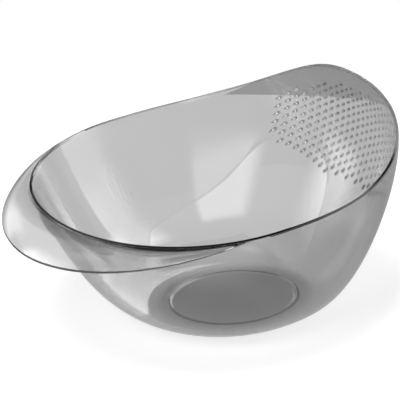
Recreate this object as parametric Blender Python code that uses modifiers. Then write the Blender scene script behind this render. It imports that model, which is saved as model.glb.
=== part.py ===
"""Rice washing bowl: an oval shell on a stepped foot, with a high perforated hood at one end for pouring the
water off and a folded grip lip at the other. One clear moulding.

Metres, Z up. The origin is the middle of the foot on the table, the hood is at +X and the lip at -X.
"""
import math

import bmesh
import bpy
from mathutils import Matrix, Vector

# Wall and foot
WALL = 0.0020
FOOT_LENGTH = 0.0980
FOOT_WIDTH = 0.0830
FOOT_STEP = 0.0012
FOOT_DRAFT = 0.0006
FOOT_EDGE = 0.004

# The wall rises on four-point curves, one to the hood, one to each side and one to the grip. Each starts on the
# flat round the foot and is measured from the origin. The pulls bend it outward low down and again high up
CURVE_HEIGHT = 0.150
HEIGHT_PULL = 0.053
HOOD_BASE = 0.060
HOOD_LOW_PULL = 0.014
HOOD_HIGH_PULL = 0.037
HOOD_REACH = 0.105
SIDE_BASE = 0.044
SIDE_LOW_PULL = 0.061
SIDE_HIGH_PULL = -0.0255
SIDE_REACH = 0.129
GRIP_BASE = 0.055
GRIP_LOW_PULL = 0.0615
GRIP_HIGH_PULL = -0.032
GRIP_REACH = 0.1745
CENTRE_AT_BASE = -0.007
CENTRE_AT_TOP = -0.047
CURVE_LAST = 1.3
HOOD_HOLES_FIRST = 0.3

# How square the oval sections are, 2 is an ellipse
HOOD_SQUARENESS = 2.20
GRIP_SQUARENESS = 2.05

# Rim, measured from the table
RIM_HEIGHT = 0.1092
RIM_TILT = 0.0078
HOOD_RISE = 0.0365
HOOD_NARROWNESS = 8.5
RIM_ROUNDING = 0.0006

# Grip lip: it springs from just below the rim, bends over and hangs down
LIP_THICKNESS = 0.0020
LIP_BELOW_RIM = 0.0025
LIP_REACH = 0.0280
LIP_DROP = 0.0155
LIP_BEND = math.radians(65)
LIP_SPREAD = math.radians(90)
LIP_SPREAD_POWER = 0.9
DROP_SPREAD = math.radians(80)
DROP_SPREAD_POWER = 1.1
LIP_END = math.radians(86)

# Holes of the hood, pulled in one direction and set out in staggered columns
HOLE_DIAMETER = 0.0030
HOLE_SIDES = 6
HOLE_COLUMN_STEP = 0.00535
HOLE_ROW_STEP = 0.0053
HOLE_TILT = math.radians(20)
HOLE_FIRST_ROW = 0.0282
HOLE_COLUMNS_EACH_SIDE = 13
HOLE_LEVEL_COLUMNS = 5
HOLE_STEEP_FROM = 29
HOLE_BELOW_RIM = 0.0165

# Mesh fineness
COLUMNS = 48
ROWS = 10
LIP_COLUMNS = 24
LIP_ROWS = 4


def curve(start, low_pull, high_pull, end, t):
    """A four-point curve whose inner points are pulled away from its ends."""
    low = start + low_pull
    high = end + high_pull
    s = 1 - t
    return start * s ** 3 + 3 * low * s * s * t + 3 * high * s * t * t + end * t ** 3


def power(value, exponent):
    return math.copysign(abs(value) ** exponent, value)


def solve(function, target, low, high):
    """Where a rising function meets the target."""
    for step in range(50):
        middle = (low + high) / 2
        if function(middle) < target:
            low = middle
        else:
            high = middle
    return (low + high) / 2


def base_height():
    return FOOT_STEP + WALL / 2


def rise(t):
    return curve(0, 0, -HEIGHT_PULL, CURVE_HEIGHT, t)


def wall_height(t):
    return base_height() + rise(t)


def rim_height(angle):
    side = math.cos(angle)
    return RIM_HEIGHT + RIM_TILT * side + HOOD_RISE * ((1 + side) / 2) ** HOOD_NARROWNESS


def rim_step(angle, below=0):
    return solve(wall_height, rim_height(angle) - below, 0, CURVE_LAST)


def section(t):
    """Centre, hood reach, half width and grip reach of the oval section."""
    centre = CENTRE_AT_BASE + (CENTRE_AT_TOP - CENTRE_AT_BASE) * rise(t) / CURVE_HEIGHT
    hood = curve(HOOD_BASE, HOOD_LOW_PULL, HOOD_HIGH_PULL, HOOD_REACH, t) - centre
    half_width = curve(SIDE_BASE, SIDE_LOW_PULL, SIDE_HIGH_PULL, SIDE_REACH, t)
    grip = curve(GRIP_BASE, GRIP_LOW_PULL, GRIP_HIGH_PULL, GRIP_REACH, t) + centre
    return centre, hood, half_width, grip


def wall_point(angle, t):
    """Point on the middle of the wall. Angle 0 is the hood, half a turn is the grip lip."""
    centre, hood, half_width, grip = section(t)
    along = math.cos(angle)
    across = math.sin(angle)
    if along > 0:
        reach, squareness = hood, HOOD_SQUARENESS
    else:
        reach, squareness = grip, GRIP_SQUARENESS
    x = centre + reach * power(along, 2 / squareness)
    y = half_width * power(across, 2 / squareness)
    return Vector((x, y, wall_height(t)))


def foot_point(angle, growth, height):
    x = (FOOT_LENGTH / 2 + growth) * math.cos(angle)
    y = (FOOT_WIDTH / 2 + growth) * math.sin(angle)
    return Vector((x, y, height))


def new_object(name, mesh, collection):
    thing = bpy.data.objects.new(name, mesh)
    collection.objects.link(thing)
    return thing


def bridge(mesh, first, second, closed):
    count = len(first)
    for i in range(count if closed else count - 1):
        j = (i + 1) % count
        mesh.faces.new((first[i], first[j], second[j], second[i]))


def make_shell(collection, material):
    """The middle surface of floor, foot step and wall, thickened to both sides."""
    mesh = bmesh.new()
    angles = [2 * math.pi * i / COLUMNS for i in range(COLUMNS)]
    rings = []
    rings.append([foot_point(a, -FOOT_EDGE, WALL / 2) for a in angles])
    rings.append([foot_point(a, 0, WALL / 2) for a in angles])
    rings.append([foot_point(a, FOOT_DRAFT, base_height()) for a in angles])
    tops = [rim_step(a) for a in angles]
    for row in range(ROWS + 1):
        share = row / ROWS
        rings.append([wall_point(a, top * share) for a, top in zip(angles, tops)])
    rows = [[mesh.verts.new(p) for p in ring] for ring in rings]
    floor = mesh.faces.new(rows[0])
    floor.normal_flip()
    for low, high in zip(rows, rows[1:]):
        bridge(mesh, low, high, True)
    bmesh.ops.recalc_face_normals(mesh, faces=mesh.faces)
    data = bpy.data.meshes.new("bowl")
    mesh.to_mesh(data)
    mesh.free()
    data.materials.append(material)
    shell = new_object("bowl", data, collection)
    thick = shell.modifiers.new("wall thickness", "SOLIDIFY")
    thick.thickness = WALL
    thick.offset = 0
    thick.use_even_offset = True
    rounding = shell.modifiers.new("rim rounding", "BEVEL")
    rounding.limit_method = "ANGLE"
    rounding.angle_limit = math.radians(70)
    rounding.width = RIM_ROUNDING
    rounding.segments = 1
    return shell


def spread(angle, half, exponent):
    """1 at the grip end, falling smoothly to 0 where the lip has run out."""
    share = max(0, 1 - (abs(angle) / half) ** exponent)
    return share * share * (3 - 2 * share)


def outward(angle, t):
    """Level direction straight out of the wall."""
    step = 0.01
    ahead = wall_point(angle + step, t) - wall_point(angle - step, t)
    return Vector((ahead.y, -ahead.x, 0)).normalized()


def make_lip(collection, material):
    mesh = bmesh.new()
    columns = []
    for i in range(LIP_COLUMNS + 1):
        side = LIP_END * (2 * i / LIP_COLUMNS - 1)
        angle = math.pi - side
        t = rim_step(angle, LIP_BELOW_RIM)
        root = wall_point(angle, t)
        out = outward(angle, t)
        reach = LIP_REACH * spread(side, LIP_SPREAD, LIP_SPREAD_POWER)
        drop = LIP_DROP * spread(side, DROP_SPREAD, DROP_SPREAD_POWER)
        column = []
        for row in range(LIP_ROWS + 1):
            bend = LIP_BEND * row / LIP_ROWS
            across = reach * math.sin(bend) / math.sin(LIP_BEND)
            down = drop * (1 - math.cos(bend)) / (1 - math.cos(LIP_BEND))
            column.append(mesh.verts.new(root + out * across - Vector((0, 0, down))))
        columns.append(column)
    for left, right in zip(columns, columns[1:]):
        bridge(mesh, left, right, False)
    data = bpy.data.meshes.new("lip")
    mesh.to_mesh(data)
    mesh.free()
    data.materials.append(material)
    lip = new_object("lip", data, collection)
    thick = lip.modifiers.new("lip thickness", "SOLIDIFY")
    thick.thickness = LIP_THICKNESS
    thick.offset = 0
    thick.use_even_offset = True
    return lip


def hood_point(y, row_height):
    """Where the wall is met at this distance from the middle and on this tilted row."""

    def angle_at(t):
        share = min(abs(y) / section(t)[2], 1)
        return math.asin(share ** (HOOD_SQUARENESS / 2))

    def height_along_rows(t):
        point = wall_point(angle_at(t), t)
        return point.z * math.cos(HOLE_TILT) - point.x * math.sin(HOLE_TILT)

    t = solve(height_along_rows, row_height, HOOD_HOLES_FIRST, CURVE_LAST)
    point = wall_point(angle_at(t), t)
    return Vector((point.x, y, point.z))


def rim_height_at(y):
    def rim_y(angle):
        return wall_point(angle, rim_step(angle)).y

    return rim_height(solve(rim_y, abs(y), 0, math.pi / 2))


def hole_places():
    """Staggered columns. The lowest row is level in the middle and climbs half a step a column beside it."""
    places = []
    for column in range(-HOLE_COLUMNS_EACH_SIDE, HOLE_COLUMNS_EACH_SIDE + 1):
        side = abs(column)
        y = column * HOLE_COLUMN_STEP
        top = rim_height_at(y) - HOLE_BELOW_RIM
        half_row = max(0, side - HOLE_LEVEL_COLUMNS, 3 * side - HOLE_STEEP_FROM)
        if (half_row + side) % 2 == 0:
            half_row += 1
        place = hood_point(y, HOLE_FIRST_ROW + half_row * HOLE_ROW_STEP / 2)
        while place.z < top:
            places.append(place)
            half_row += 2
            place = hood_point(y, HOLE_FIRST_ROW + half_row * HOLE_ROW_STEP / 2)
    return places


def make_hole_pins(collection):
    """Parallel pins, one for each hole, as the side core of the mould has them."""
    turn = Matrix.Rotation(math.pi / 2 - HOLE_TILT, 4, "Y")
    mesh = bmesh.new()
    for place in hole_places():
        bmesh.ops.create_cone(mesh, cap_ends=True, segments=HOLE_SIDES, radius1=HOLE_DIAMETER / 2,
                              radius2=HOLE_DIAMETER / 2, depth=12 * WALL,
                              matrix=Matrix.Translation(place) @ turn)
    data = bpy.data.meshes.new("hole pins")
    mesh.to_mesh(data)
    mesh.free()
    return new_object("hole pins", data, collection)


def join_or_cut(target, tool, operation):
    step = target.modifiers.new(tool.name, "BOOLEAN")
    step.operation = operation
    step.solver = "EXACT"
    step.object = tool
    tool.hide_render = True
    tool.display_type = "WIRE"


def clear_plastic():
    material = bpy.data.materials.new("smoky_clear_plastic")
    material.use_nodes = True
    shader = material.node_tree.nodes["Principled BSDF"]
    shader.inputs["Base Color"].default_value = (0.62, 0.62, 0.62, 1)
    shader.inputs["Roughness"].default_value = 0.06
    shader.inputs["Metallic"].default_value = 0
    shader.inputs["IOR"].default_value = 1.49
    shader.inputs["Transmission Weight"].default_value = 0.9
    return material


def main():
    for thing in list(bpy.data.objects):
        bpy.data.objects.remove(thing, do_unlink=True)
    bowl_collection = bpy.data.collections.new("rice_washing_bowl")
    tool_collection = bpy.data.collections.new("cutters")
    bpy.context.scene.collection.children.link(bowl_collection)
    bpy.context.scene.collection.children.link(tool_collection)
    material = clear_plastic()
    bowl = make_shell(bowl_collection, material)
    lip = make_lip(tool_collection, material)
    pins = make_hole_pins(tool_collection)
    join_or_cut(bowl, lip, "UNION")
    join_or_cut(bowl, pins, "DIFFERENCE")
    for face in bowl.data.polygons:
        face.use_smooth = True


main()
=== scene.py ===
import math

import bpy
import numpy as np
from mathutils import Matrix, Vector
from mathutils.bvhtree import BVHTree


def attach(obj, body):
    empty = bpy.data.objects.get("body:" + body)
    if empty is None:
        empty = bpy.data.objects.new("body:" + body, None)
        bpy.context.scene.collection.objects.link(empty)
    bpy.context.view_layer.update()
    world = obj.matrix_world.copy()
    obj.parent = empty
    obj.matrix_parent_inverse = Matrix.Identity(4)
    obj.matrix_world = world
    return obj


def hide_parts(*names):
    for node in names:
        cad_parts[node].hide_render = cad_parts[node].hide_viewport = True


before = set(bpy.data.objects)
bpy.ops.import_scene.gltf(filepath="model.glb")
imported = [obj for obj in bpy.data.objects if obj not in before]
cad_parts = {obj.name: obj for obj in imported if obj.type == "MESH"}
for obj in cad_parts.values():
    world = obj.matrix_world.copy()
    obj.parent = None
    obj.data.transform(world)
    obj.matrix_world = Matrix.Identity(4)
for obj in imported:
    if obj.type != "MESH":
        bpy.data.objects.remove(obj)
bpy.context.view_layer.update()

# The bowl's sizes are the CAD model's, in millimetres
MM = 0.001
WALL = 2.0
HALF_WALL = WALL / 2

# The foot: half its length and width, its height, and how its step lies on the inside and the outside
FOOT = (49.0, 41.5)
FOOT_STEP = 1.2
FOOT_INSIDE = -1.5
FOOT_OUTSIDE = 0.1
STEP_WIDTH = 1.1
BASE = FOOT_STEP + HALF_WALL

# Four-point curves from the flat round the foot upward: height, and reach to the hood, the sides and the grip
CURVE_HEIGHT = 150.0
HEIGHT = (0.0, 0.0, 97.0, 150.0)
HOOD = (60.0, 74.0, 142.0, 105.0)
SIDE = (44.0, 105.0, 103.5, 129.0)
GRIP = (55.0, 116.5, 142.5, 174.5)
CENTRE_AT_BASE = -7.0
CENTRE_AT_TOP = -47.0
# How far along them the flat ends and the wall's first row lies
WALL_START = 0.002
WALL_FIRST_ROW = 0.004
# How square the oval sections are, 2 is an ellipse
HOOD_SQUARENESS = 2.20
GRIP_SQUARENESS = 2.05

# The rim, measured from the table
RIM_HEIGHT = 109.2
RIM_TILT = 7.8
HOOD_RISE = 36.5
HOOD_NARROWNESS = 8.5
RIM_CORNER = 0.2

# The lip leaves the wall under the rim, bends down and gets thinner towards its edge
LIP_BELOW_RIM = 2.5
LIP_TOP_BELOW_RIM = 1.15
LIP_REACH = 28.0
LIP_DROP = 15.5
LIP_EDGE = 1.3
LIP_BEND = math.radians(65)
LIP_SPREAD = math.radians(90)
LIP_SPREAD_POWER = 0.9
DROP_SPREAD = math.radians(80)
DROP_SPREAD_POWER = 1.1
LIP_IN_WALL = 1.4
LIP_FILLET_ABOVE = 0.3
LIP_FILLET_BELOW = 0.4
# The flat edge: how far down it each row lies, and how far the row is drawn out
EDGE_ROWS = ((0.04, 0.0), (0.12, 0.05), (0.5, 0.05), (0.88, 0.05), (0.96, 0.0))
EDGE_DRAWN_IN_ABOVE = 0.45
EDGE_DRAWN_OUT_BELOW = 0.30

# The holes: columns are counted from the middle, half rows from the first row
HOLE_RADIUS = 1.2
HOLE_SIDES = 16
HOLE_TILT = math.radians(20)
HOLE_COLUMNS_EACH_SIDE = 13
HOLE_COLUMN_STEP = 5.35
HOLE_ROW_STEP = 5.3
HOLE_FIRST_ROW = 28.2
HOLE_LEVEL_COLUMNS = 5
HOLE_STEEP_FROM = 29
HOLE_BELOW_RIM = 16.5
PIN_LENGTH = 18.0

# A smooth shell swells past the CAD's chords by up to 0.2 mm, and is trimmed by about as much
TRIM = (0.9985, 0.9985, 0.9975)

# How fine the smooth shell is
COLUMNS = 360
ANGLES = np.arange(COLUMNS) * 2 * math.pi / COLUMNS + 1e-4
FLOOR_SHARES = (0.12, 0.3, 0.5, 0.7, 0.86, 0.95)
STEP_ROWS = 9
BASE_SHARES = (0.25, 0.5, 0.75)
WALL_ROWS = 60
WALL_ROWS_POWER = 1.15
CORNER_ROWS = 6
FILLET_ROWS = 5
LIP_ROWS = 22
LIP_ROWS_POWER = 0.9
FIRST_RIM_ROW = len(FLOOR_SHARES) + STEP_ROWS + len(BASE_SHARES) + WALL_ROWS
LAST_LIP_ROW = FIRST_RIM_ROW + 2 * CORNER_ROWS + 1 + FILLET_ROWS + LIP_ROWS
RIM_FACES = (FIRST_RIM_ROW + 4, FIRST_RIM_ROW + 9)
EDGE_FACES = (LAST_LIP_ROW, LAST_LIP_ROW + len(EDGE_ROWS))

# How much painted shade the rim gets: the painted dark strip goes this many faces down, and is paler round
# the hood
RIM_STRIP_ON_LIP = 8
RIM_STRIP_ELSEWHERE = 36
RIM_DARKEST_AT = math.radians(26)
RIM_FADES_FROM = 106
RIM_FADES_OVER = 18
RIM_FADE = 0.7

# How grey the painted shade on the hole walls is: less in the outer half of each hole, and in the highest
# holes, painted paler where they catch light
HOLE_OUTER_HALF = 0.4
HOLE_FADES_FROM = 120
HOLE_FADES_OVER = 10
HOLE_FADE = 0.6
# The lowest hole of each column gets painted shade as dark as part of the rim, by more towards -Y
LOWEST_HOLES_SHADE = 0.5
LOWEST_HOLES_CHANGE = 0.4

# What a fully marked hole wall or rim does to the plastic: hole walls get rougher, and painted shade greys
# the hole walls and blackens the rim
HOLE_HAZE = 0.4
HOLE_OPAQUE = 0.85
HOLE_SHADE_GREY = 0.54
RIM_OPAQUE = 0.92
RIM_SHADE_GREY = 0.006
SMOKE = 225.0

# The view of the photo
VIEW_TURN = math.radians(-34.786)
VIEW_RISE = math.radians(23.993)
VIEW_TARGET = (-0.02969, 0.0, 0.0864)
VIEW_DISTANCE = 1.7891
VIEW_FOCUS = 2536.885 / 400.0
SENSOR = 36.0

# The white table ends in a straight line behind the bowl
TABLE_HALF = 0.7
TABLE_BACK = 0.404
TABLE_UNDER = 0.0001
TABLE_GLOW = 0.5
# Its glow as gloss shows it, with painted shade behind the bowl and painted light close to the camera and to
# the right, each from one place to another in metres, and the glow at both:
# along the view, close to the camera, and to the right as far as a line along the view
GLOW_ALONG = (-0.12, 0.08, 0.85, 0.4)
GLOW_CLOSE = (-0.175, -0.125, 1.8, 0.0)
GLOW_RIGHT = (0.165, 0.2, 0.0, 1.0)
GLOW_RIGHT_ALONG = (-0.01, 0.05, 0.55, 0.0)
# Its glow as clear plastic shows it, with a painted shadow under the foot and painted shade to the right:
# from the foot outward, in shares of the foot, and from left to right
FOOT_PAINTED_SHADOW = (1.0, 1.35, 0.34, 0.72)
SIDE_PAINTED_SHADE = (-0.15, 0.15, 1.06, 0.94)

# The room that the plastic mirrors
ROOM_GREY = 0.48
DARK = 0.04
BOX_RADIUS = 3.0
BOX_LEVEL = 0.05
CEILING_HEIGHT = 7.0
CEILING_HALF = 3.3
CEILING_PATCH = (-1.4, -0.6, 7.0)
CEILING_GLOW = (0.3, 1.9, 2.4, 0.05)
WHITE = (1.0, 1.0, 1.0, 1)


def grey(level):
    return (level, level, level, 1)


def unit(v):
    return v / np.maximum(np.linalg.norm(v, axis=-1, keepdims=True), 1e-12)


def smooth(x):
    x = np.clip(x, 0, 1)
    return x * x * (3 - 2 * x)


def spread(side, half, exponent):
    """1 at the grip, fading to 0 at the angle half on either side of it."""
    return smooth(1 - (np.abs(side) / half) ** exponent)


def bezier(p, t):
    s = 1 - t
    return p[0] * s ** 3 + 3 * p[1] * s * s * t + 3 * p[2] * s * t * t + p[3] * t ** 3


CURVE_T = np.linspace(0, 1.3, 2601)
CURVE_Z = bezier(HEIGHT, CURVE_T)


def step_at(z):
    """How far along the side curves the wall's middle has this height."""
    return np.interp(z - BASE, CURVE_Z, CURVE_T)


def rim_height(angle):
    c = np.cos(angle)
    return RIM_HEIGHT + RIM_TILT * c + HOOD_RISE * ((1 + c) / 2) ** HOOD_NARROWNESS


def wall(angle, t):
    """Middle of the wall, arrays in and out."""
    angle, t = np.broadcast_arrays(angle, t)
    rise = bezier(HEIGHT, t)
    centre = CENTRE_AT_BASE + (CENTRE_AT_TOP - CENTRE_AT_BASE) * rise / CURVE_HEIGHT
    c = np.cos(angle)
    s = np.sin(angle)
    front = c > 0
    n = np.where(front, HOOD_SQUARENESS, GRIP_SQUARENESS)
    reach = np.where(front, bezier(HOOD, t) - centre, bezier(GRIP, t) + centre)
    x = centre + reach * np.sign(c) * np.abs(c) ** (2 / n)
    y = bezier(SIDE, t) * np.sign(s) * np.abs(s) ** (2 / n)
    return np.stack([x, y, BASE + rise], -1)


def wall_frame(angle, t):
    """Point, outward normal and upward tangent of the wall's middle."""
    e = 0.0015
    along = wall(angle + e, t) - wall(angle - e, t)
    up = wall(angle, t + e) - wall(angle, np.maximum(t - e, 0))
    return wall(angle, t), unit(np.cross(along, up)), unit(up)


def foot_ring(growth, z):
    """The foot's oval, larger by growth, at the height z."""
    x = (FOOT[0] + growth) * np.cos(ANGLES)
    y = (FOOT[1] + growth) * np.sin(ANGLES)
    return np.stack([x, y, np.full(COLUMNS, z)], -1)


def floor_rows(z, growth):
    """The flat floor, from near its middle outward."""
    rows = []
    for share in FLOOR_SHARES:
        ring = foot_ring(growth, z)
        ring[:, :2] *= share
        rows.append(ring)
    return np.stack(rows, 1)


def step_rows(low, growth):
    """The soft step round the foot, upward from the height low."""
    rows = []
    for share in np.linspace(0, 1, STEP_ROWS):
        rows.append(foot_ring(growth + STEP_WIDTH * share, low + FOOT_STEP * smooth(share)))
    return np.stack(rows, 1)


def base_rows(first, z):
    """The flat from the foot's step to the start of the wall."""
    last = wall(ANGLES, WALL_START)
    last[:, 2] = z
    return np.stack([first * (1 - share) + last * share for share in BASE_SHARES], 1)


def wall_rows(shares, top, offset):
    """One face of the wall, at these shares of the way up to top."""
    t = WALL_FIRST_ROW + (top - WALL_FIRST_ROW)[:, None] * shares[None] ** WALL_ROWS_POWER
    point, normal, _ = wall_frame(ANGLES[:, None], t)
    return point + normal * offset


def rim_rows(rounded):
    """The rim's top with its two small round corners, over the wall at rounded."""
    centre, out, tangent = wall_frame(ANGLES, rounded)
    flat = HALF_WALL - RIM_CORNER
    rows = []
    corners = ((-flat, 15, 90, CORNER_ROWS), (0.0, 90, 90, 1), (flat, 90, 165, CORNER_ROWS))
    for middle, first, last, count in corners:
        for bend in np.radians(np.linspace(first, last, count)):
            across = middle - RIM_CORNER * math.cos(bend)
            rows.append(centre + across * out + RIM_CORNER * math.sin(bend) * tangent)
    return np.stack(rows, 1)


def lip_sheet(root, level, reach, drop):
    """Middle of the lip from the wall's middle to its edge, with its upward face and its way outward."""
    up = np.array([0.0, 0.0, 1.0])
    bend = LIP_BEND * np.linspace(0, 1, LIP_ROWS)[None]
    out = reach[:, None] * np.sin(bend) / math.sin(LIP_BEND)
    down = drop[:, None] * (1 - np.cos(bend)) / (1 - math.cos(LIP_BEND))
    sheet = root[:, None] + level[:, None] * out[..., None] - up * down[..., None]
    along = np.roll(sheet, -1, 0) - np.roll(sheet, 1, 0)
    out_slope = (reach[:, None] + 0.01) * np.cos(bend) / math.sin(LIP_BEND)
    down_slope = (drop[:, None] + 0.001) * np.sin(bend) / (1 - math.cos(LIP_BEND))
    ahead = level[:, None] * out_slope[..., None] - up * down_slope[..., None]
    face = unit(np.cross(ahead, along))
    face *= np.sign(face[..., 2:3])
    return sheet, face, unit(ahead)


def lip_places(reach):
    """Where the lip's rows lie on its sheet, the part inside the wall left out."""
    taken = np.clip(LIP_IN_WALL / np.maximum(reach, LIP_IN_WALL), 0, 1)
    way = np.linspace(0, 1, 50)
    start = np.interp(taken, np.sin(LIP_BEND * way) / math.sin(LIP_BEND), way)
    first = np.minimum(start * (LIP_ROWS - 1), LIP_ROWS - 4)[:, None]
    return first + (LIP_ROWS - 1 - first) * np.linspace(0, 1, LIP_ROWS)[None] ** LIP_ROWS_POWER


def between_rows(values, places):
    """The values of a sheet at places between its rows."""
    low = np.minimum(np.floor(places).astype(int), LIP_ROWS - 2)
    part = (places - low)[..., None]
    column = np.arange(COLUMNS)[:, None]
    return values[column, low] * (1 - part) + values[column, low + 1] * part


def lip_faces(root, level, reach, drop):
    """The lip's upper side, its flat edge that looks outward, and its lower side."""
    places = lip_places(reach)
    sheet, face, ahead = lip_sheet(root, level, reach, drop)
    middle = between_rows(sheet, places)
    face = unit(between_rows(face, places))
    ahead = unit(between_rows(ahead, places))[:, -1]
    half = (1 + (LIP_EDGE / WALL - 1) * smooth(places / (LIP_ROWS - 1) * 2.5))[..., None] * HALF_WALL
    above = middle + face * half
    below = middle - face * half
    above[:, -1] -= ahead * EDGE_DRAWN_IN_ABOVE
    below[:, -1] += ahead * EDGE_DRAWN_OUT_BELOW
    edge = []
    for down, drawn_out in EDGE_ROWS:
        edge.append(above[:, -1] + (below[:, -1] - above[:, -1]) * down + ahead * drawn_out)
    return above, np.stack(edge, 1), below


def fillet(a, corner, b):
    """Points on a soft corner from a to b, the ends left out."""
    k = (np.arange(1, FILLET_ROWS + 1) / (FILLET_ROWS + 1))[None, :, None]
    return a[:, None] * (1 - k) ** 2 + 2 * corner[:, None] * k * (1 - k) + b[:, None] * k * k


def lip_rows():
    """The wall's outside from the rim to under the lip, and where on the side curves it ends."""
    side = math.pi - ANGLES
    reach = LIP_REACH * spread(side, LIP_SPREAD, LIP_SPREAD_POWER)
    depth = np.full(COLUMNS, LIP_TOP_BELOW_RIM)
    root, root_out, root_up = wall_frame(ANGLES, step_at(rim_height(ANGLES) - depth))
    level = unit(root_out * np.array([1.0, 1.0, 0.0]))
    drop = (LIP_DROP * spread(side, DROP_SPREAD, DROP_SPREAD_POWER)
            + (LIP_BELOW_RIM - depth) * smooth(reach / 10))
    above, edge, below = lip_faces(root, level, reach, drop)
    # where the lip's two sides would meet the wall, and the fillets that join them
    high = HALF_WALL * (1 - root_out[:, 2]) / root_up[:, 2]
    low = -HALF_WALL * (1 + root_out[:, 2]) / root_up[:, 2]
    join_above = np.minimum(high + LIP_FILLET_ABOVE, depth - RIM_CORNER - 0.05)
    join_below = LIP_FILLET_BELOW - low

    def on_wall(rise):
        z = rim_height(ANGLES)[:, None] - depth[:, None] + rise * root_up[:, 2:3]
        point, normal, _ = wall_frame(ANGLES[:, None], step_at(z))
        return point + normal * HALF_WALL

    high_join = on_wall(join_above[:, None])[:, 0]
    low_join = on_wall(-join_below[:, None])[:, 0]
    face = root + root_out * HALF_WALL
    high_fillet = fillet(high_join, face + root_up * high[:, None], above[:, 0])
    low_fillet = fillet(below[:, 0], face + root_up * low[:, None], low_join)
    lip = np.concatenate([high_fillet, above, edge, below[:, ::-1], low_fillet], 1)
    # away from the lip the same rows lie on the plain wall
    shares = np.linspace(1, 0, lip.shape[1] + 2)[None, 1:-1]
    plain = on_wall(shares * (join_above + join_below)[:, None] - join_below[:, None])
    on = smooth((reach - 1.2) / 2.6)[:, None, None]
    rows = np.concatenate([high_join[:, None], plain * (1 - on) + lip * on, low_join[:, None]], 1)
    return rows, step_at(rim_height(ANGLES) - depth - join_below * root_up[:, 2])


def ring_path():
    """Every column of the shell as one path: inner floor, inner wall, rim, lip, outer wall, underside."""
    inner_step = step_rows(WALL, FOOT_INSIDE)
    outer_step = step_rows(0.0, FOOT_OUTSIDE)
    _, _, top_up = wall_frame(ANGLES, step_at(rim_height(ANGLES)))
    rounded = step_at(rim_height(ANGLES) - RIM_CORNER * top_up[:, 2])
    lip, lip_end = lip_rows()
    shares = np.linspace(0, 1, WALL_ROWS)
    return np.concatenate([
        floor_rows(WALL, FOOT_INSIDE),
        inner_step,
        base_rows(inner_step[:, -1], FOOT_STEP + WALL),
        wall_rows(shares, rounded, -HALF_WALL),
        rim_rows(rounded),
        lip,
        wall_rows((1 - shares)[1:], lip_end, HALF_WALL),
        base_rows(outer_step[:, -1], FOOT_STEP)[:, ::-1],
        outer_step[:, ::-1],
        floor_rows(0.0, FOOT_OUTSIDE)[:, ::-1]], 1)


def add_mesh(name, points, faces):
    mesh = bpy.data.meshes.new(name)
    mesh.from_pydata(points, [], faces)
    mesh.update()
    return mesh


def add_object(name, data):
    thing = bpy.data.objects.new(name, data)
    bpy.context.scene.collection.objects.link(thing)
    return thing


def shell_mesh():
    """The closed shell: the columns side by side, with a fan of triangles on the floor and under it."""
    grid = ring_path() * MM * np.array(TRIM)
    count, rows = grid.shape[:2]
    points = grid.reshape(-1, 3).tolist()
    floor_top = len(points)
    floor_under = floor_top + 1
    points += [(0.0, 0.0, WALL * MM), (0.0, 0.0, 0.0)]
    faces = []
    for i in range(count):
        a = i * rows
        b = (i + 1) % count * rows
        faces.append((floor_top, a, b))
        for k in range(rows - 1):
            faces.append((a + k, a + k + 1, b + k + 1, b + k))
        faces.append((floor_under, b + rows - 1, a + rows - 1))
    return add_mesh("bowl_solid", points, faces)


def lowest_half_row(column):
    """The lowest hole of a column, in half rows: level in the middle, then stepped, and steep at the ends."""
    side = abs(column)
    half_row = max(0, side - HOLE_LEVEL_COLUMNS, 3 * side - HOLE_STEEP_FROM)
    return half_row + (half_row + side + 1) % 2


def hole_places():
    """The staggered holes of the CAD model on the wall's middle."""
    t = np.linspace(0.3, 1.2, 1801)
    quarter = np.linspace(0, math.pi / 2, 721)
    rim_y = wall(quarter, step_at(rim_height(quarter)))[:, 1]
    places = []
    for column in range(-HOLE_COLUMNS_EACH_SIDE, HOLE_COLUMNS_EACH_SIDE + 1):
        y = column * HOLE_COLUMN_STEP
        top = rim_height(np.interp(abs(y), rim_y, quarter)) - HOLE_BELOW_RIM
        angle = np.arcsin(np.clip(abs(y) / bezier(SIDE, t), 0, 1) ** (HOOD_SQUARENESS / 2))
        p = wall(angle, t)
        along = p[:, 2] * math.cos(HOLE_TILT) - p[:, 0] * math.sin(HOLE_TILT)
        half_row = lowest_half_row(column)
        while True:
            target = HOLE_FIRST_ROW + half_row * HOLE_ROW_STEP / 2
            x = np.interp(target, along, p[:, 0])
            z = np.interp(target, along, p[:, 2])
            if z >= top:
                break
            places.append((x, y, z))
            half_row += 2
    return places


def hole_pins(places):
    """A pin for each hole, parted at the wall's middle into an inner and an outer half."""
    direction = Vector((math.cos(HOLE_TILT), 0, math.sin(HOLE_TILT)))
    across = Vector((0, 1, 0))
    other = direction.cross(across)
    n = HOLE_SIDES
    points, faces = [], []
    for place in places:
        base = len(points)
        for end in (-PIN_LENGTH / 2, 0.0, PIN_LENGTH / 2):
            for k in range(n):
                a = 2 * math.pi * k / n
                round_it = HOLE_RADIUS * (across * math.cos(a) + other * math.sin(a))
                points.append((Vector(place) + direction * end + round_it) * MM)
        for low in (base, base + n):
            for k in range(n):
                j = (k + 1) % n
                faces.append((low + k, low + j, low + n + j, low + n + k))
        faces.append(tuple(base + k for k in reversed(range(n))))
        faces.append(tuple(base + 2 * n + k for k in range(n)))
    return add_mesh("pins", points, faces)


def outward(mesh):
    """Turns a closed mesh's faces outward."""
    if sum(poly.center.dot(poly.normal) * poly.area for poly in mesh.polygons) < 0:
        mesh.flip_normals()
    return mesh


def mark_faces(mesh, name, amounts):
    mesh.attributes.new(name, "FLOAT", "FACE").data.foreach_set("value", amounts)


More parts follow.
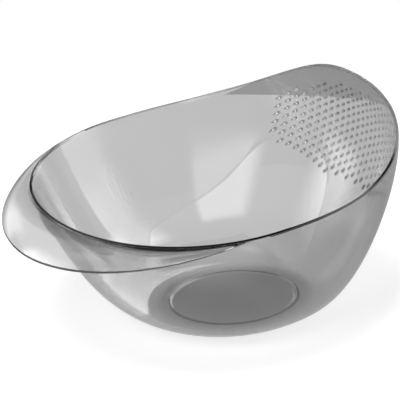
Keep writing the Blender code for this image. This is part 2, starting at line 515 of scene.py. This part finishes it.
def rim_shade_marks(solid):
    """How much painted shade each face of the shell gets: the rim's top, a strip under it and the lip's edge.
    """
    faces_in_column = len(solid.polygons) // COLUMNS
    amounts = []
    for k in range(len(solid.polygons)):
        row = k % faces_in_column
        side = math.pi - 2 * math.pi * (k // faces_in_column) / COLUMNS
        lip = spread(side, LIP_SPREAD, LIP_SPREAD_POWER)
        on_edge = EDGE_FACES[0] <= row <= EDGE_FACES[1] and lip > 0.15
        last = RIM_FACES[1] + (RIM_STRIP_ON_LIP if lip > 0.02 else RIM_STRIP_ELSEWHERE)
        away = abs((side + RIM_DARKEST_AT + math.pi) % (2 * math.pi) - math.pi)
        amount = 1 - RIM_FADE * float(smooth((math.degrees(away) - RIM_FADES_FROM) / RIM_FADES_OVER))
        amounts.append(amount if RIM_FACES[0] <= row <= last or on_edge else 0.0)
    return amounts


def hole_marks(places):
    """How much painted shade each face of the pins gets."""
    amounts = []
    for _, _, z in places:
        amount = 1 - HOLE_FADE * float(smooth((z - HOLE_FADES_FROM) / HOLE_FADES_OVER))
        amounts += [amount] * HOLE_SIDES + [HOLE_OUTER_HALF * amount] * HOLE_SIDES + [0.0, 0.0]
    return amounts


def lowest_hole_marks(places):
    """How much more painted shade each face of the pins gets: only the lowest hole of each column, more so
    towards -Y.
    """
    amounts = []
    last_y = None
    for _, y, _ in places:
        share = y / (HOLE_COLUMNS_EACH_SIDE * HOLE_COLUMN_STEP)
        amount = 0.0 if y == last_y else LOWEST_HOLES_SHADE - LOWEST_HOLES_CHANGE * share
        amounts += [amount] * (2 * HOLE_SIDES + 2)
        last_y = y
    return amounts


def cut_holes(solid, pins):
    """The solid with the holes cut out, as a new mesh."""
    shell = add_object("bowl_shell", solid)
    cutter = add_object("bowl_pins", pins)
    cut = shell.modifiers.new("holes", "BOOLEAN")
    cut.operation = "DIFFERENCE"
    cut.solver = "MANIFOLD"
    cut.object = cutter
    graph = bpy.context.evaluated_depsgraph_get()
    mesh = bpy.data.meshes.new_from_object(shell.evaluated_get(graph), depsgraph=graph)
    mesh.name = "clear_bowl"
    bpy.data.objects.remove(shell)
    bpy.data.objects.remove(cutter)
    return mesh


def shade_as(mesh, solid):
    """Shades a cut mesh with the normals of the uncut solid, and its hole walls flat."""
    shade = [Vector(v.vector) for v in solid.vertex_normals]
    corners = [tuple(p.vertices) for p in solid.polygons]
    tree = BVHTree.FromPolygons([v.co for v in solid.vertices], corners)
    hole_share = np.zeros(len(mesh.polygons), np.float32)
    mesh.attributes["hole_wall"].data.foreach_get("value", hole_share)
    normals = [None] * len(mesh.loops)
    found = {}
    for poly in mesh.polygons:
        for loop in poly.loop_indices:
            if hole_share[poly.index] > 0.1:
                normals[loop] = tuple(poly.normal)
                continue
            vertex = mesh.loops[loop].vertex_index
            if vertex not in found:
                co = mesh.vertices[vertex].co
                total = Vector((0, 0, 0))
                for c in corners[tree.find_nearest(co)[2]]:
                    weight = 1 / ((solid.vertices[c].co - co).length + 1e-6)
                    total += shade[c] * weight
                found[vertex] = tuple(total.normalized())
            normals[loop] = found[vertex]
    mesh.normals_split_custom_set(normals)


def make_bowl():
    """The smooth shell with its round holes."""
    places = hole_places()
    solid = outward(shell_mesh())
    solid.shade_smooth()
    pins = outward(hole_pins(places))
    mark_faces(pins, "hole_wall", hole_marks(places))
    mark_faces(solid, "hole_wall", [0.0] * len(solid.polygons))
    # painted shade on the rim's top, a strip under it and the lip's edge
    mark_faces(solid, "rim_painted_shade", rim_shade_marks(solid))
    # the lowest holes get the rim's painted shade
    mark_faces(pins, "rim_painted_shade", lowest_hole_marks(places))
    mesh = cut_holes(solid, pins)
    mesh.shade_smooth()
    shade_as(mesh, solid)
    return add_object("clear_bowl", mesh)


def node(tree, kind, at, **values):
    n = tree.nodes.new(kind)
    n.location = at
    for key, value in values.items():
        setattr(n, key, value)
    return n


def feed(tree, n, **values):
    """Sets or links a node's inputs by name, with _ for a space."""
    for key, value in values.items():
        socket = n.inputs[key.replace("_", " ")]
        if isinstance(value, bpy.types.NodeSocket):
            tree.links.new(value, socket)
        else:
            socket.default_value = value


def math_of(tree, at, operation, *values, clamp=False):
    """A Math node on numbers and sockets."""
    n = node(tree, "ShaderNodeMath", at, operation=operation, use_clamp=clamp)
    for socket, value in zip(n.inputs, values):
        if isinstance(value, bpy.types.NodeSocket):
            tree.links.new(value, socket)
        else:
            socket.default_value = value
    return n.outputs[0]


def vector_of(tree, at, operation, vector, other=(0.0, 0.0, 0.0)):
    """A Vector Math node on a socket and a fixed vector."""
    n = node(tree, "ShaderNodeVectorMath", at, operation=operation)
    tree.links.new(vector, n.inputs[0])
    n.inputs[1].default_value = other
    return n.outputs["Vector" if operation == "MULTIPLY" else "Value"]


def ramp(tree, at, value, ends, kind="SMOOTHSTEP"):
    """Maps a value from the first two of ends to the last two."""
    n = node(tree, "ShaderNodeMapRange", at, interpolation_type=kind)
    feed(tree, n, Value=value, From_Min=ends[0], From_Max=ends[1], To_Min=ends[2], To_Max=ends[3])
    return n.outputs[0]


def mix_shaders(tree, at, factor, first, second):
    n = node(tree, "ShaderNodeMixShader", at)
    tree.links.new(factor, n.inputs[0])
    tree.links.new(first, n.inputs[1])
    tree.links.new(second, n.inputs[2])
    return n.outputs[0]


def mix_colours(tree, at, factor, first, second):
    n = node(tree, "ShaderNodeMix", at, data_type="RGBA")
    feed(tree, n, Factor=factor, A=first, B=second)
    return n.outputs["Result"]


def add_shaders(tree, at, first, second):
    n = node(tree, "ShaderNodeAddShader", at)
    tree.links.new(first, n.inputs[0])
    tree.links.new(second, n.inputs[1])
    return n.outputs[0]


def diffuse(tree, at, level):
    n = node(tree, "ShaderNodeBsdfDiffuse", at)
    feed(tree, n, Color=grey(level))
    return n.outputs[0]


def emission(tree, at, strength):
    n = node(tree, "ShaderNodeEmission", at)
    feed(tree, n, Color=WHITE, Strength=strength)
    return n.outputs[0]


def noise(tree, at, vector, scale, detail):
    n = node(tree, "ShaderNodeTexNoise", at)
    feed(tree, n, Vector=vector, Scale=scale, Detail=detail)
    return n.outputs[0]


def empty_material(name):
    """A material with nothing but its output, and the output's node."""
    material = bpy.data.materials.new(name)
    material.use_nodes = True
    tree = material.node_tree
    tree.nodes.clear()
    return material, tree, node(tree, "ShaderNodeOutputMaterial", (900, 0))


def clear_plastic():
    """Smoky clear plastic: the grey is taken up inside the wall, so long ways through it go dark."""
    material, tree, out = empty_material("smoky_clear_plastic")
    place = node(tree, "ShaderNodeTexCoord", (-1200, 0)).outputs["Object"]
    # hole walls are rougher and get painted grey shade
    hole = node(tree, "ShaderNodeAttribute", (-600, 400), attribute_name="hole_wall").outputs["Fac"]
    rim = node(tree, "ShaderNodeAttribute", (-600, 1200), attribute_name="rim_painted_shade").outputs["Fac"]
    # the polish varies a little, and hole walls are matt
    film = noise(tree, (-900, 100), place, 45.0, 4.0)
    haze = ramp(tree, (-600, 100), film, (0.35, 0.7, 0.02, 0.04), "LINEAR")
    roughness = math_of(tree, (-300, 200), "MULTIPLY_ADD", hole, HOLE_HAZE, haze)
    # painted shade: hole walls are painted grey and let less light in, and the rim is painted nearly black
    body = math_of(tree, (-300, 600), "MULTIPLY_ADD", hole, -HOLE_OPAQUE, 1.0)
    clearness = math_of(tree, (-100, 600), "MULTIPLY_ADD", rim, -RIM_OPAQUE, body)
    hole_shade_tint = mix_colours(tree, (-300, 900), hole, WHITE, grey(HOLE_SHADE_GREY))
    colour = mix_colours(tree, (-100, 900), rim, hole_shade_tint, grey(RIM_SHADE_GREY))
    # slow waves in the moulded surface
    wave = node(tree, "ShaderNodeBump", (-300, -300))
    feed(tree, wave, Strength=0.5, Distance=0.00001, Height=noise(tree, (-900, -300), place, 14.0, 1.0))
    # the plain plastic, and then what its polish and the painted shade of holes and rim change
    shader = node(tree, "ShaderNodeBsdfPrincipled", (300, 0))
    feed(tree, shader, Base_Color=WHITE, Roughness=0.03, IOR=1.49, Transmission_Weight=1.0)
    feed(tree, shader, Base_Color=colour, Roughness=roughness, Transmission_Weight=clearness,
         Normal=wave.outputs[0])
    # light gets through to the table and the diffuse surfaces behind
    clear = node(tree, "ShaderNodeBsdfTransparent", (300, -500))
    feed(tree, clear, Color=grey(0.95))
    path = node(tree, "ShaderNodeLightPath", (0, 500)).outputs
    either = math_of(tree, (300, 400), "MAXIMUM", path["Is Shadow Ray"], path["Is Diffuse Ray"])
    surface = mix_shaders(tree, (650, 0), either, shader.outputs[0], clear.outputs[0])
    smoke = node(tree, "ShaderNodeVolumeAbsorption", (600, -300))
    feed(tree, smoke, Color=grey(0.0), Density=SMOKE)
    feed(tree, out, Surface=surface, Volume=smoke.outputs[0])
    return material


def arc(name, radius, low, high, first, last, count):
    """An upright strip round the bowl, from one compass bearing to another, with a map from 0 to 1."""
    points, faces, places = [], [], []
    for k in range(count + 1):
        bearing = math.radians(first + (last - first) * k / count)
        for z in (low, high):
            points.append((radius * math.sin(bearing), radius * math.cos(bearing), z))
    for k in range(count):
        faces.append((2 * k, 2 * k + 2, 2 * k + 3, 2 * k + 1))
        for i, v in ((k, 0), (k + 1, 0), (k + 1, 1), (k, 1)):
            places.extend((i / count, v))
    mesh = add_mesh(name, points, faces)
    mesh.uv_layers.new(name="place").data.foreach_set("uv", places)
    return add_object(name, mesh)


def only_mirrored(thing):
    """Part of the studio that shows in gloss and through plastic, and nowhere else."""
    thing.visible_camera = False
    thing.visible_shadow = False
    thing.visible_diffuse = False


def soft_box(name, strength, bearings, heights, soft, radius=BOX_RADIUS):
    """A studio softbox that the plastic mirrors, paler towards its edges: left, right, bottom, top."""
    low, high = (BOX_LEVEL + radius * math.tan(math.radians(h)) for h in heights)
    box = arc(name, radius, low, high, bearings[0], bearings[1], 24)
    only_mirrored(box)
    material, tree, out = empty_material(name)
    place = node(tree, "ShaderNodeTexCoord", (-900, 0))
    split = node(tree, "ShaderNodeSeparateXYZ", (-700, 0))
    tree.links.new(place.outputs["UV"], split.inputs[0])
    path = node(tree, "ShaderNodeLightPath", (-450, 300)).outputs
    share = math_of(tree, (-200, 300), "MULTIPLY", path["Glossy Depth"], 1.0, clamp=True)
    edges = (("X", 0.0, soft[0]), ("X", 1.0, 1.0 - soft[1]),
             ("Y", 0.0, soft[2]), ("Y", 1.0, 1.0 - soft[3]))
    for k, (axis, start, end) in enumerate(edges):
        edge = ramp(tree, (-450, -250 * k), split.outputs[axis], (start, end, 0.0, 1.0))
        share = math_of(tree, (-200, -250 * k), "MULTIPLY", share, edge)
    clear = node(tree, "ShaderNodeBsdfTransparent", (300, -200)).outputs[0]
    glow = emission(tree, (300, 0), strength)
    feed(tree, out, Surface=mix_shaders(tree, (600, 0), share, clear, glow))
    box.data.materials.append(material)


def mirrored_table(tree, ahead, sideways):
    """The table's glow in gloss, by place: painted shade behind the bowl, painted light close to the camera
    and to the right.
    """
    along = ramp(tree, (-500, -1000), ahead, GLOW_ALONG, "LINEAR")
    close = ramp(tree, (-500, -1300), ahead, GLOW_CLOSE)
    right = ramp(tree, (-500, -1600), sideways, GLOW_RIGHT)
    right_along = ramp(tree, (-500, -1900), ahead, GLOW_RIGHT_ALONG)
    corner = math_of(tree, (-300, -1600), "MULTIPLY", right, right_along)
    return math_of(tree, (-100, -1100), "ADD", math_of(tree, (-300, -1100), "ADD", along, close), corner)


def table_through_plastic(tree, place, sideways):
    """The table's glow through clear plastic: a painted shadow under the foot, and painted shade to the
    right.
    """
    per_foot = (1 / (FOOT[0] * MM), 1 / (FOOT[1] * MM), 0.0)
    scaled = vector_of(tree, (-700, -500), "MULTIPLY", place, per_foot)
    painted_foot_shade = ramp(tree, (-300, -500), vector_of(tree, (-500, -500), "LENGTH", scaled), FOOT_PAINTED_SHADOW)
    painted_side_shade = ramp(tree, (-500, -800), sideways, SIDE_PAINTED_SHADE, "LINEAR")
    return math_of(tree, (-200, -650), "MULTIPLY", painted_foot_shade, painted_side_shade)


def white_table():
    """White to the camera, with the bowl's shadow. Gloss and clear plastic show less of the lit share, and a
    glow with painted shadow and light.
    """
    material, tree, out = empty_material("white_table")
    direct = add_shaders(tree, (500, 0), emission(tree, (300, 0), TABLE_GLOW),
                         diffuse(tree, (300, -200), 0.8))
    place = node(tree, "ShaderNodeNewGeometry", (-900, -500)).outputs["Position"]
    c, s = math.cos(VIEW_TURN), math.sin(VIEW_TURN)
    ahead = vector_of(tree, (-700, -1000), "DOT_PRODUCT", place, (-s, c, 0.0))
    sideways = vector_of(tree, (-700, -800), "DOT_PRODUCT", place, (c, s, 0.0))
    path = node(tree, "ShaderNodeLightPath", (-600, 400)).outputs
    through = math_of(tree, (-300, -200), "GREATER_THAN", path["Transmission Depth"], 0.5)
    level = node(tree, "ShaderNodeMix", (-100, -400))
    feed(tree, level, Factor=through, A=mirrored_table(tree, ahead, sideways),
         B=table_through_plastic(tree, place, sideways))
    sent = add_shaders(tree, (300, -400), emission(tree, (100, -400), level.outputs[0]),
                       diffuse(tree, (100, -600), 0.15))
    either = math_of(tree, (-100, 400), "MAXIMUM", path["Is Glossy Ray"], path["Is Transmission Ray"])
    feed(tree, out, Surface=mix_shaders(tree, (700, 0), either, direct, sent))
    return material


def sheet(name, corners, material):
    thing = add_object(name, add_mesh(name, corners, [tuple(range(len(corners)))]))
    thing.data.materials.append(material)
    return thing


def make_table():
    turn = Matrix.Rotation(VIEW_TURN, 3, "Z")
    left, right, near, far = -TABLE_HALF, TABLE_HALF, -TABLE_HALF, TABLE_BACK
    corners = []
    for x, y in ((left, near), (right, near), (right, far), (left, far)):
        corners.append(turn @ Vector((x, y, -TABLE_UNDER)))
    sheet("table", corners, white_table())


def ceiling_material():
    """A dark ceiling with one soft light patch."""
    material, tree, out = empty_material("dark_ceiling")
    place = node(tree, "ShaderNodeTexCoord", (-600, 0)).outputs["Object"]
    away = vector_of(tree, (-400, 0), "DISTANCE", place, CEILING_PATCH)
    feed(tree, out, Surface=emission(tree, (300, 0), ramp(tree, (-200, 0), away, CEILING_GLOW)))
    return material


def make_room():
    for name, radius, low, high, first, last, count, strength in (
            ("room_wall", 3.2, -2.2, 0.9, 0, 360, 96, ROOM_GREY),
            ("dark_back", 3.15, 0.9, CEILING_HEIGHT, -2, 41, 12, DARK),
            ("dark_back_low", 3.15, 0.15, 0.9, 17, 41, 12, DARK),
            ("dark_back_high", 3.15, 3.8, CEILING_HEIGHT, 41, 64, 8, DARK)):
        strip = arc(name, radius, low, high, first, last, count)
        only_mirrored(strip)
        material, tree, out = empty_material(name)
        feed(tree, out, Surface=emission(tree, (300, 0), strength))
        strip.data.materials.append(material)
    corners = []
    for x, y in ((-1, -1), (1, -1), (1, 1), (-1, 1)):
        corners.append((x * CEILING_HALF, y * CEILING_HALF, CEILING_HEIGHT))
    only_mirrored(sheet("ceiling", corners, ceiling_material()))


def make_soft_boxes():
    soft_box("softbox_right", 10.5, (41, 79), (-7, 50), (0.01, 0.03, 0.2, 0.15))
    soft_box("softbox_high", 14.0, (78, 122), (16, 60), (0.01, 0.4, 0.1, 0.5))
    soft_box("softbox_far_right", 6.5, (107, 151), (-4.5, 50), (0.02, 0.45, 0.2, 0.3), BOX_RADIUS + 0.05)
    soft_box("softbox_left", 7.8, (-92, -34), (-10, 41), (0.6, 0.25, 0.25, 0.8))
    soft_box("softbox_left_high", 2.0, (-95, -30), (30, 66), (0.3, 0.3, 0.5, 0.2))
    soft_box("softbox_back", 2.3, (-26, 7), (-6, 33), (0.35, 0.45, 0.3, 0.35))
    soft_box("softbox_front", 4.6, (176, 232), (0, 44), (0.12, 0.3, 0.15, 0.3))


def area_lamp(name, at, aim, size, power):
    """A square lamp that isn't seen in gloss or through plastic."""
    data = bpy.data.lights.new(name, "AREA")
    data.shape = "RECTANGLE"
    data.size = size
    data.size_y = size
    data.energy = power
    lamp = add_object(name, data)
    lamp.location = at
    lamp.rotation_euler = (Vector(aim) - Vector(at)).to_track_quat("-Z", "Y").to_euler()
    lamp.visible_glossy = False
    lamp.visible_transmission = False


def background(tree, at, strength):
    n = node(tree, "ShaderNodeBackground", at)
    feed(tree, n, Color=WHITE, Strength=strength)
    return n.outputs[0]


def make_light():
    """Two lamps, and a world that is white to the camera, to gloss and through plastic but lights less."""
    world = bpy.data.worlds.new("studio")
    bpy.context.scene.world = world
    world.use_nodes = True
    tree = world.node_tree
    tree.nodes.clear()
    out = node(tree, "ShaderNodeOutputWorld", (900, 0))
    path = node(tree, "ShaderNodeLightPath", (-400, 300)).outputs
    camera_or_gloss = math_of(tree, (-200, 300), "ADD", path["Is Camera Ray"], path["Is Glossy Ray"])
    seen = math_of(tree, (0, 300), "ADD", camera_or_gloss, path["Is Transmission Ray"], clamp=True)
    room = background(tree, (300, 0), 0.35)
    white = background(tree, (300, -200), 1.0)
    feed(tree, out, Surface=mix_shaders(tree, (600, 0), seen, room, white))
    area_lamp("overhead", (-0.25, -0.1, 1.3), (0.0, 0.05, 0.0), 0.5, 9)
    area_lamp("left", (-0.9, -0.5, 0.9), (0.0, 0.0, 0.05), 0.5, 5)


def make_camera():
    back = Vector((math.sin(VIEW_TURN) * math.cos(VIEW_RISE), -math.cos(VIEW_TURN) * math.cos(VIEW_RISE),
                   math.sin(VIEW_RISE)))
    data = bpy.data.cameras.new("camera")
    data.sensor_width = SENSOR
    data.lens = VIEW_FOCUS * SENSOR
    data.clip_start = 0.05
    camera = add_object("camera", data)
    camera.location = Vector(VIEW_TARGET) + back * VIEW_DISTANCE
    camera.rotation_euler = (-back).to_track_quat("-Z", "Y").to_euler()
    bpy.context.scene.camera = camera


bowl = make_bowl()
bowl.data.materials.clear()
bowl.data.materials.append(clear_plastic())
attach(bowl, "root")
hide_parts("bowl")
make_table()
make_room()
make_soft_boxes()
make_light()
make_camera()
bpy.context.scene.view_settings.view_transform = "Standard"
